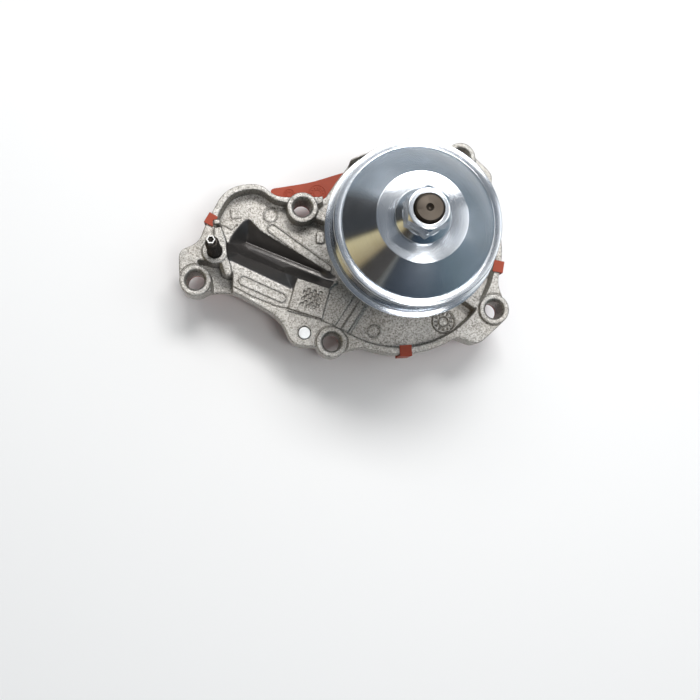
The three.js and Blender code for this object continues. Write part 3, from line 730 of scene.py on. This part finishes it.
def cast_aluminium():
    """Blasted die casting: a sandy grain with dark specks, and a smoother surface in the deep pocket,
    darkened there with painted shade.
    """
    m = Nodes("cast_aluminium")
    grain = m.noise(0.8, 5, 0.8)
    patches = m.noise(16, 3)
    tint = m.ramp(patches, (0.35, (0.56, 0.53, 0.485)), (0.65, (0.62, 0.60, 0.565)))
    specks = m.ramp(grain, (0.38, (0.24, 0.23, 0.21)), (0.47, (0.60, 0.59, 0.58)), (0.60, (1, 1, 1)))
    sandy = m.mix(1.0, tint, specks, "MULTIPLY")
    skin_and_shade = m.node("ShaderNodeAttribute", attribute_name="smooth_skin_and_shade").outputs["Fac"]
    # The deep pocket's smooth surface takes a near-black colour: painted shade, standing for the dark
    # reflections and shadow in the recess.
    colour = m.mix(skin_and_shade, sandy, (0.13, 0.122, 0.116))
    rough = m.blend(skin_and_shade, m.spread(grain, 0.62, 0.40), m.spread(m.noise(2.5, 3), 0.30, 0.42))
    relief = m.blend(skin_and_shade, grain, m.noise(2.5, 3))
    normal = m.bump(relief, 0.22, 0.8)
    return m.set(base_color=colour, metallic=0.85, roughness=rough, normal=normal)


def turned_steel(name, colour, roughness, line_mm=0.35, depth_mm=0.0015, anisotropy=0.9, grooves=None):
    """Steel with fine turning lines round the Z axis.

    Grooves are (inner radius, outer radius, top): below the top, painted shade darkens the metal towards the
    inner radius, in the roots of the belt grooves.
    """
    m = Nodes(name)
    split = m.node("ShaderNodeSeparateXYZ")
    m.link(m.place, split.inputs[0])
    flat = m.node("ShaderNodeCombineXYZ")
    m.link(split.outputs["X"], flat.inputs["X"])
    m.link(split.outputs["Y"], flat.inputs["Y"])
    radius = m.node("ShaderNodeVectorMath", operation="LENGTH")
    m.link(flat.outputs[0], radius.inputs[0])
    rings = m.node("ShaderNodeCombineXYZ")
    m.link(radius.outputs["Value"], rings.inputs["X"])
    m.link(split.outputs["Z"], rings.inputs["Y"])
    lines = m.node("ShaderNodeTexNoise", Scale=1 / (line_mm * MM), Detail=4, Roughness=0.7)
    m.link(rings.outputs[0], lines.inputs["Vector"])
    dull = m.noise(14, 3)
    low, high = tuple(0.94 * c for c in colour), (colour[0] * 0.98, colour[1], min(colour[2] * 1.03, 1))
    tint = m.mix(1.0, m.ramp(dull, (0.35, low), (0.65, high)),
                 m.ramp(lines.outputs["Fac"], (0.3, (0.88, 0.88, 0.88)), (0.6, (1, 1, 1))), "MULTIPLY")
    # Painted shade in the belt grooves' roots: darker towards the inner radius, below the top of the band.
    if grooves:
        inner, outer, top = (v * MM for v in grooves)
        root = m.spread(radius.outputs["Value"], 1, 0, inner, outer)
        under = m.spread(split.outputs["Z"], 1, 0, top - 0.1 * MM, top)
        inside = m.node("ShaderNodeMath", operation="MULTIPLY")
        m.link(root, inside.inputs[0])
        m.link(under, inside.inputs[1])
        tint = m.mix(inside.outputs[0], tint, (0.10, 0.10, 0.11))
    around_axis = m.node("ShaderNodeTangent", direction_type="RADIAL", axis="Z")
    m.link(around_axis.outputs[0], m.shader.inputs["Tangent"])
    m.shader.inputs["Anisotropic"].default_value = anisotropy
    m.shader.inputs["Anisotropic Rotation"].default_value = 0.25
    rough = m.spread(dull, roughness * 0.94, roughness * 1.06)
    return m.set(base_color=tint, metallic=1.0, roughness=rough,
                 normal=m.bump(lines.outputs["Fac"], depth_mm, 0.6))


def moulded(name, colour, roughness, grain_mm=0.5, grain=0.02, mottle=0.12):
    """Moulded plastic or rubber with a faint grain and slight colour drift."""
    m = Nodes(name)
    drift = m.noise(12, 3)
    low = tuple(c * (1 - mottle) for c in colour)
    high = tuple(min(c * (1 + mottle), 1) for c in colour)
    tint = m.ramp(drift, (0.3, low), (0.7, high))
    fine = m.noise(grain_mm, 3)
    m.shader.inputs["Specular IOR Level"].default_value = 0.25
    return m.set(base_color=tint, roughness=m.spread(fine, roughness - 0.07, roughness + 0.07),
                 normal=m.bump(fine, grain, 0.5))


def plain_steel(name, colour, roughness, grain_mm=0.6, grain=0.02, metallic=1.0):
    """Ground, drawn or phosphated steel with a fine random grain."""
    m = Nodes(name)
    drift = m.noise(6, 3)
    tint = m.ramp(drift, (0.3, tuple(0.8 * c for c in colour)), (0.7, colour))
    fine = m.noise(grain_mm, 4)
    rough = m.spread(fine, roughness * 0.75, roughness * 1.3)
    return m.set(base_color=tint, metallic=metallic, roughness=rough, normal=m.bump(fine, grain, 0.4))


def stud_steel():
    """Phosphated black steel, worn bright on the edge of its drive."""
    m = Nodes("black_steel")
    split = m.node("ShaderNodeSeparateXYZ")
    m.link(m.place, split.inputs[0])
    worn = m.spread(split.outputs["Z"], 0, 1, (STUD["tip"] - 0.5) * MM, (STUD["tip"] - 0.25) * MM)
    fine = m.noise(0.7, 4)
    dark = m.ramp(fine, (0.35, (0.030, 0.025, 0.021)), (0.65, (0.095, 0.080, 0.068)))
    return m.set(base_color=m.mix(worn, dark, (0.78, 0.77, 0.74)), metallic=0.9,
                 roughness=m.spread(fine, 0.36, 0.52), normal=m.bump(fine, 0.03, 0.5))


# Where the pulley's steel gets painted shade: the belt grooves, from the crest radius in towards the root, up
# to the band's top.
BELT_GROOVE_SHADE = (PULLEY["root_r"] + 0.6, PULLEY["crest_r"], PULLEY["band_top"] + 0.1)
MATERIALS = {
    "cast_aluminium": cast_aluminium(),
    "pulley_steel": turned_steel("pulley_steel", (0.72, 0.74, 0.76), 0.2, grooves=BELT_GROOVE_SHADE),
    "nut_steel": turned_steel("nut_steel", (0.78, 0.80, 0.82), 0.22, 0.4, 0.003, 0.5),
    "shaft_steel": turned_steel("shaft_steel", (0.085, 0.070, 0.056), 0.5, 0.8, 0.03, 0.3),
    "red_plastic": moulded("red_plastic", (0.36, 0.060, 0.028), 0.55),
    "impeller_plastic": moulded("impeller_plastic", (0.035, 0.035, 0.037), 0.42),
    "cage_plastic": moulded("cage_plastic", (0.30, 0.24, 0.16), 0.45),
    "seal_carbon": moulded("seal_carbon", (0.045, 0.045, 0.05), 0.35),
    "seal_ceramic": moulded("seal_ceramic", (0.16, 0.16, 0.17), 0.22),
    "sealing_rubber": moulded("sealing_rubber", (0.022, 0.022, 0.023), 0.62, 0.35, 0.03),
    "pin_steel": plain_steel("pin_steel", (0.95, 0.95, 0.94), 0.42, metallic=0.45),
    "black_steel": stud_steel(),
    "bearing_steel": plain_steel("bearing_steel", (0.62, 0.63, 0.64), 0.2),
    "seal_stainless": plain_steel("seal_stainless", (0.58, 0.58, 0.57), 0.3),
}

# ---- the pump --------------------------------------------------------------------------------

# Pieces that keep their CAD shape, and how far in their edges are rounded.
SOFT_EDGES = {"gasket_carrier": 0.25, "gasket_bead": 0.3, "seal_cup": 0.2, "seal_seat_boot": 0.2,
              "seal_seat_ring": 0.15, "bearing_outer_ring": 0.15}


def finish_cad_nodes():
    """Every CAD node is given its slot's material."""
    for entry in frame["record"]["subparts"]:
        node = frame["nodes"][entry["node"]]
        node.data.materials.clear()
        node.data.materials.append(MATERIALS[entry["material_slot"]])


def soften_cad_edges():
    for node, reach in SOFT_EDGES.items():
        bevel = frame["nodes"][node].modifiers.new("soft_edges", "BEVEL")
        bevel.width, bevel.segments, bevel.angle_limit = reach * MM, 2, math.radians(40)


def build_housing():
    piece("housing", pump_casting(), "casing", "cast_aluminium", "pump_housing")


def build_web_dials():
    """Two wear dials in low relief on the red carrier, where it shows beside the lobe."""
    body = Casting((-64, 26, -1.5), (-34, 40, 1), GRID_STEP["web_dials"])
    for at, r in WEB_DIALS:
        body.add(embossed(dial(at, r), CARRIER_TOP - 0.5, CARRIER_TOP + 0.3),
                 disc_box(at, r + 1, -1.4, 0.9), 0)
    piece("web_dials", body.mesh("web_dials"), "casing", "red_plastic")


def build_pin():
    r, low, high = PIN["r"], PIN["low"], PIN["high"]
    profile = [(0, low), (r - 0.8, low), (r, low + 1.2), (r, high - 0.3), (r - 0.3, high), (0, high)]
    pin = piece("dowel", lathe("dowel", eased(profile, 0.2), 64), "casing", "pin_steel", "locating_pin")
    move(pin, PIN["at"])


def build_stud():
    """A black M7 stud with a six-lobed hollow drive."""
    r, low, high, tip = STUD["r"], STUD["low"], STUD["high"], STUD["tip"]
    body = bmesh.new()
    body.from_mesh(threaded_rod("stud_thread", r, 1.0, low, high - 0.1, 0.9, [(2.3, high), (0, high)]))
    steps = 72
    levels = [(1, high - 0.6), (1, tip - 0.3), (0.93, tip), (0.72, tip), (0.66, tip - 0.25), (0.66, tip - 3),
              (0, tip - 3.4)]
    rings = []
    for share, z in levels:
        ring = []
        for i in range(steps):
            a = 2 * math.pi * i / steps
            reach = share * (1.98 + 0.18 * math.cos(6 * a))
            ring.append(vertex(body, reach, a, z))
        rings.append(ring)
    bridge(body, rings)
    body.faces.new(rings[0][::-1])
    stud = piece("stud", finished(body, "stud", 35), "casing", "black_steel", "stud_bolt")
    move(stud, STUD["at"])


def move(made, at):
    """Shifts the mesh of a piece modelled on the Z axis, so that its object stays at the origin."""
    made.data.transform(Matrix.Translation((at[0] * MM, at[1] * MM, 0)))


def build_pulley():
    piece("pulley_turned", lathe("pulley_turned", eased(pulley_profile(), 0.14, 2), 220, 30), "rotor",
          "pulley_steel", "pulley")


def build_nut():
    piece("nut", flange_nut(), "rotor", "nut_steel", "flange_nut")


def build_shaft():
    s = SHAFT
    r = s["thread_r"]
    lower = [(0, s["low"]), (s["r"] - 0.8, s["low"]), (s["r"], s["low"] + 0.8), (s["r"], s["shoulder"]),
             (r - 0.1, s["shoulder"]), (r - 0.1, s["thread_low"]), (0, s["thread_low"])]
    piece("shaft", lathe("shaft", lower, 96), "rotor", "shaft_steel", "pump_shaft")
    end = [(1.7, s["high"]), (0.6, s["high"] - 1.2), (0.3, s["high"] - 1.4)]
    thread = threaded_rod("shaft_thread", r, 1.5, s["thread_low"], s["high"], 0.4, end)
    piece("shaft_end", thread, "rotor", "shaft_steel")


def build_impeller():
    """A moulded disc with backward-curved vanes."""
    m = IMPELLER
    body = Casting((-32, -32, m["low"] - 2), (32, 32, m["back"] + 1), GRID_STEP["impeller"])
    whole = (-32, 32, -32, 32, m["low"] - 2, m["back"] + 1)
    body.add(cylinder((0, 0), m["r"], m["web"], m["back"], edge=0.5), whole, 0)
    body.add(cylinder((0, 0), m["hub_r"], m["low"] - 1, m["back"], edge=0.5), whole, 1.2)

    def vanes(x, y, z):
        r = np.hypot(x, y)
        share = np.clip((r - m["hub_r"] + 1.5) / (m["r"] - m["hub_r"] + 1.2), 0, 1)
        lead = np.degrees(np.arctan2(y, x)) - m["sweep"] * share ** 1.3
        pitch = 360 / m["vanes"]
        off = np.radians(np.abs(lead / pitch - np.rint(lead / pitch)) * pitch) * r
        side = off * 0.72 - 1.0
        ends = np.maximum(np.maximum(r - m["r"] + 0.3, 8 - r), np.maximum(m["low"] - z, z + 4))
        return smooth_max(side, ends, 0.5)
    body.add(vanes, whole, 1.0)
    body.cut(cylinder((0, 0), m["bore_r"], -30, 10, edge=0), whole, 0.3)
    piece("impeller_moulded", body.mesh("impeller_moulded"), "rotor", "impeller_plastic", "impeller")


# ---- the setting, in metres ------------------------------------------------------------------

FLOOR_HALF = 1.5
# Place and aim of the camera in millimetres; lens and sensor as Blender gives them.
CAMERA = {"place": (-66.2, -86.7, 441.1), "aim": (-25.5, -53.4, 15.0), "lens": 43.35, "sensor": 36}
# The room's colour at each heading, in degrees from +X: dark in the west with a warm strip south of it, dark
# in the south with a grey streak, and pale blue from the south-east round to the north-west.
ROOM = [
    (-180, (0.030, 0.032, 0.036)), (-176, (0.035, 0.033, 0.030)), (-172, (0.80, 0.68, 0.38)),
    (-150, (0.42, 0.33, 0.18)), (-144, (0.050, 0.043, 0.036)), (-124, (0.060, 0.052, 0.045)),
    (-120, (0.22, 0.22, 0.20)), (-116, (0.022, 0.032, 0.046)), (-90, (0.030, 0.052, 0.082)),
    (-60, (0.050, 0.09, 0.13)), (-40, (0.13, 0.19, 0.23)), (-20, (0.17, 0.23, 0.28)),
    (20, (0.18, 0.24, 0.29)), (90, (0.22, 0.28, 0.34)), (134, (0.22, 0.27, 0.32)),
    (146, (0.035, 0.038, 0.042)),
]
# The ceiling comes in between these heights of a direction, as sines of its angle above the horizon.
CEILING = {"from": 0.74, "full": 0.88, "colour": (0.17, 0.19, 0.22)}
# Name, place, aim, size, power in watts and colour of each area light.
LIGHTS = [
    ("key", (0.12, 0.58, 1.00), (-0.03, 0, 0), (0.62, 0.30), 9.5, (1, 1, 1)),
    ("south", (0.20, -0.24, 1.10), (-0.03, 0, 0), (0.22, 0.30), 2.6, (1, 1, 1)),
    ("side", (0.85, 0.15, 1.05), (-0.03, 0, 0), (0.6, 0.9), 3, (1, 1, 1)),
    ("west", (-0.40, 0.75, 1.10), (-0.06, 0, 0), (0.6, 0.6), 3, (1, 0.98, 0.95)),
]


def build_floor():
    """The pale ground at the height of the CAD's lowest point."""
    mesh = bpy.data.meshes.new("floor")
    half, z = FLOOR_HALF, CAD_BOX[0].z
    corners = [(-half, -half, z), (half, -half, z), (half, half, z), (-half, half, z)]
    mesh.from_pydata(corners, [], [(0, 1, 2, 3)])
    floor = bpy.data.objects.new("floor", mesh)
    bpy.context.scene.collection.objects.link(floor)
    m = Nodes("pale_floor")
    floor.data.materials.append(m.set(base_color=(0.90, 0.89, 0.88), roughness=0.7))


def build_camera():
    """Looks nearly straight down the shaft, from a little to the pump's left and front."""
    data = bpy.data.cameras.new("camera")
    data.lens, data.sensor_width = CAMERA["lens"], CAMERA["sensor"]
    camera = bpy.data.objects.new("camera", data)
    bpy.context.scene.collection.objects.link(camera)
    place = Vector(CAMERA["place"]) * MM
    ahead = (Vector(CAMERA["aim"]) * MM - place).normalized()
    right = ahead.cross(Vector((0, 1, 0))).normalized()
    up = right.cross(ahead)
    turn = Matrix((right, up, -ahead)).transposed()
    camera.matrix_world = Matrix.Translation(place) @ turn.to_4x4()
    bpy.context.scene.camera = camera


def area_light(name, place, aim, size, power, colour):
    """A rectangular light turned to face its aim."""
    data = bpy.data.lights.new(name, "AREA")
    data.shape, data.size, data.size_y = "RECTANGLE", *size
    data.energy, data.color = power, colour
    light = bpy.data.objects.new(name, data)
    bpy.context.scene.collection.objects.link(light)
    light.location = place
    light.rotation_mode = "QUATERNION"
    light.rotation_quaternion = (Vector(aim) - Vector(place)).to_track_quat("-Z", "Y")


def build_room():
    """A world of broad colours: a band that changes with heading, under a plain grey ceiling."""
    world = bpy.data.worlds.new("room")
    bpy.context.scene.world = world
    world.use_nodes = True
    tree = world.node_tree
    heading = tree.nodes.new("ShaderNodeSeparateXYZ")
    tree.links.new(tree.nodes.new("ShaderNodeTexCoord").outputs["Generated"], heading.inputs[0])
    angle = tree.nodes.new("ShaderNodeMath")
    angle.operation = "ARCTAN2"
    tree.links.new(heading.outputs["Y"], angle.inputs[0])
    tree.links.new(heading.outputs["X"], angle.inputs[1])
    share = tree.nodes.new("ShaderNodeMapRange")
    share.inputs["From Min"].default_value = -math.pi
    share.inputs["From Max"].default_value = math.pi
    tree.links.new(angle.outputs[0], share.inputs["Value"])
    band = tree.nodes.new("ShaderNodeValToRGB")
    stops = band.color_ramp.elements
    while len(stops) < len(ROOM):
        stops.new(0.5)
    for stop, (degrees, colour) in zip(stops, ROOM):
        stop.position, stop.color = (degrees + 180) / 360, (*colour, 1)
    tree.links.new(share.outputs[0], band.inputs[0])
    height = tree.nodes.new("ShaderNodeMapRange")
    height.interpolation_type = "SMOOTHSTEP"
    height.inputs["From Min"].default_value = CEILING["from"]
    height.inputs["From Max"].default_value = CEILING["full"]
    tree.links.new(heading.outputs["Z"], height.inputs["Value"])
    mixed = tree.nodes.new("ShaderNodeMix")
    mixed.data_type = "RGBA"
    tree.links.new(height.outputs[0], mixed.inputs[0])
    tree.links.new(band.outputs[0], mixed.inputs[6])
    mixed.inputs[7].default_value = (*CEILING["colour"], 1)
    tree.links.new(mixed.outputs[2], tree.nodes["Background"].inputs["Color"])


def build_lights():
    """The room, the area lights and the plain view transform."""
    build_room()
    for light in LIGHTS:
        area_light(*light)
    bpy.context.scene.view_settings.view_transform = "Standard"


finish_cad_nodes()
soften_cad_edges()
build_camera()
build_floor()
build_lights()
build_housing()
build_web_dials()
build_pin()
build_stud()
build_pulley()
build_nut()
build_shaft()
build_impeller()

bpy.context.view_layer.update()
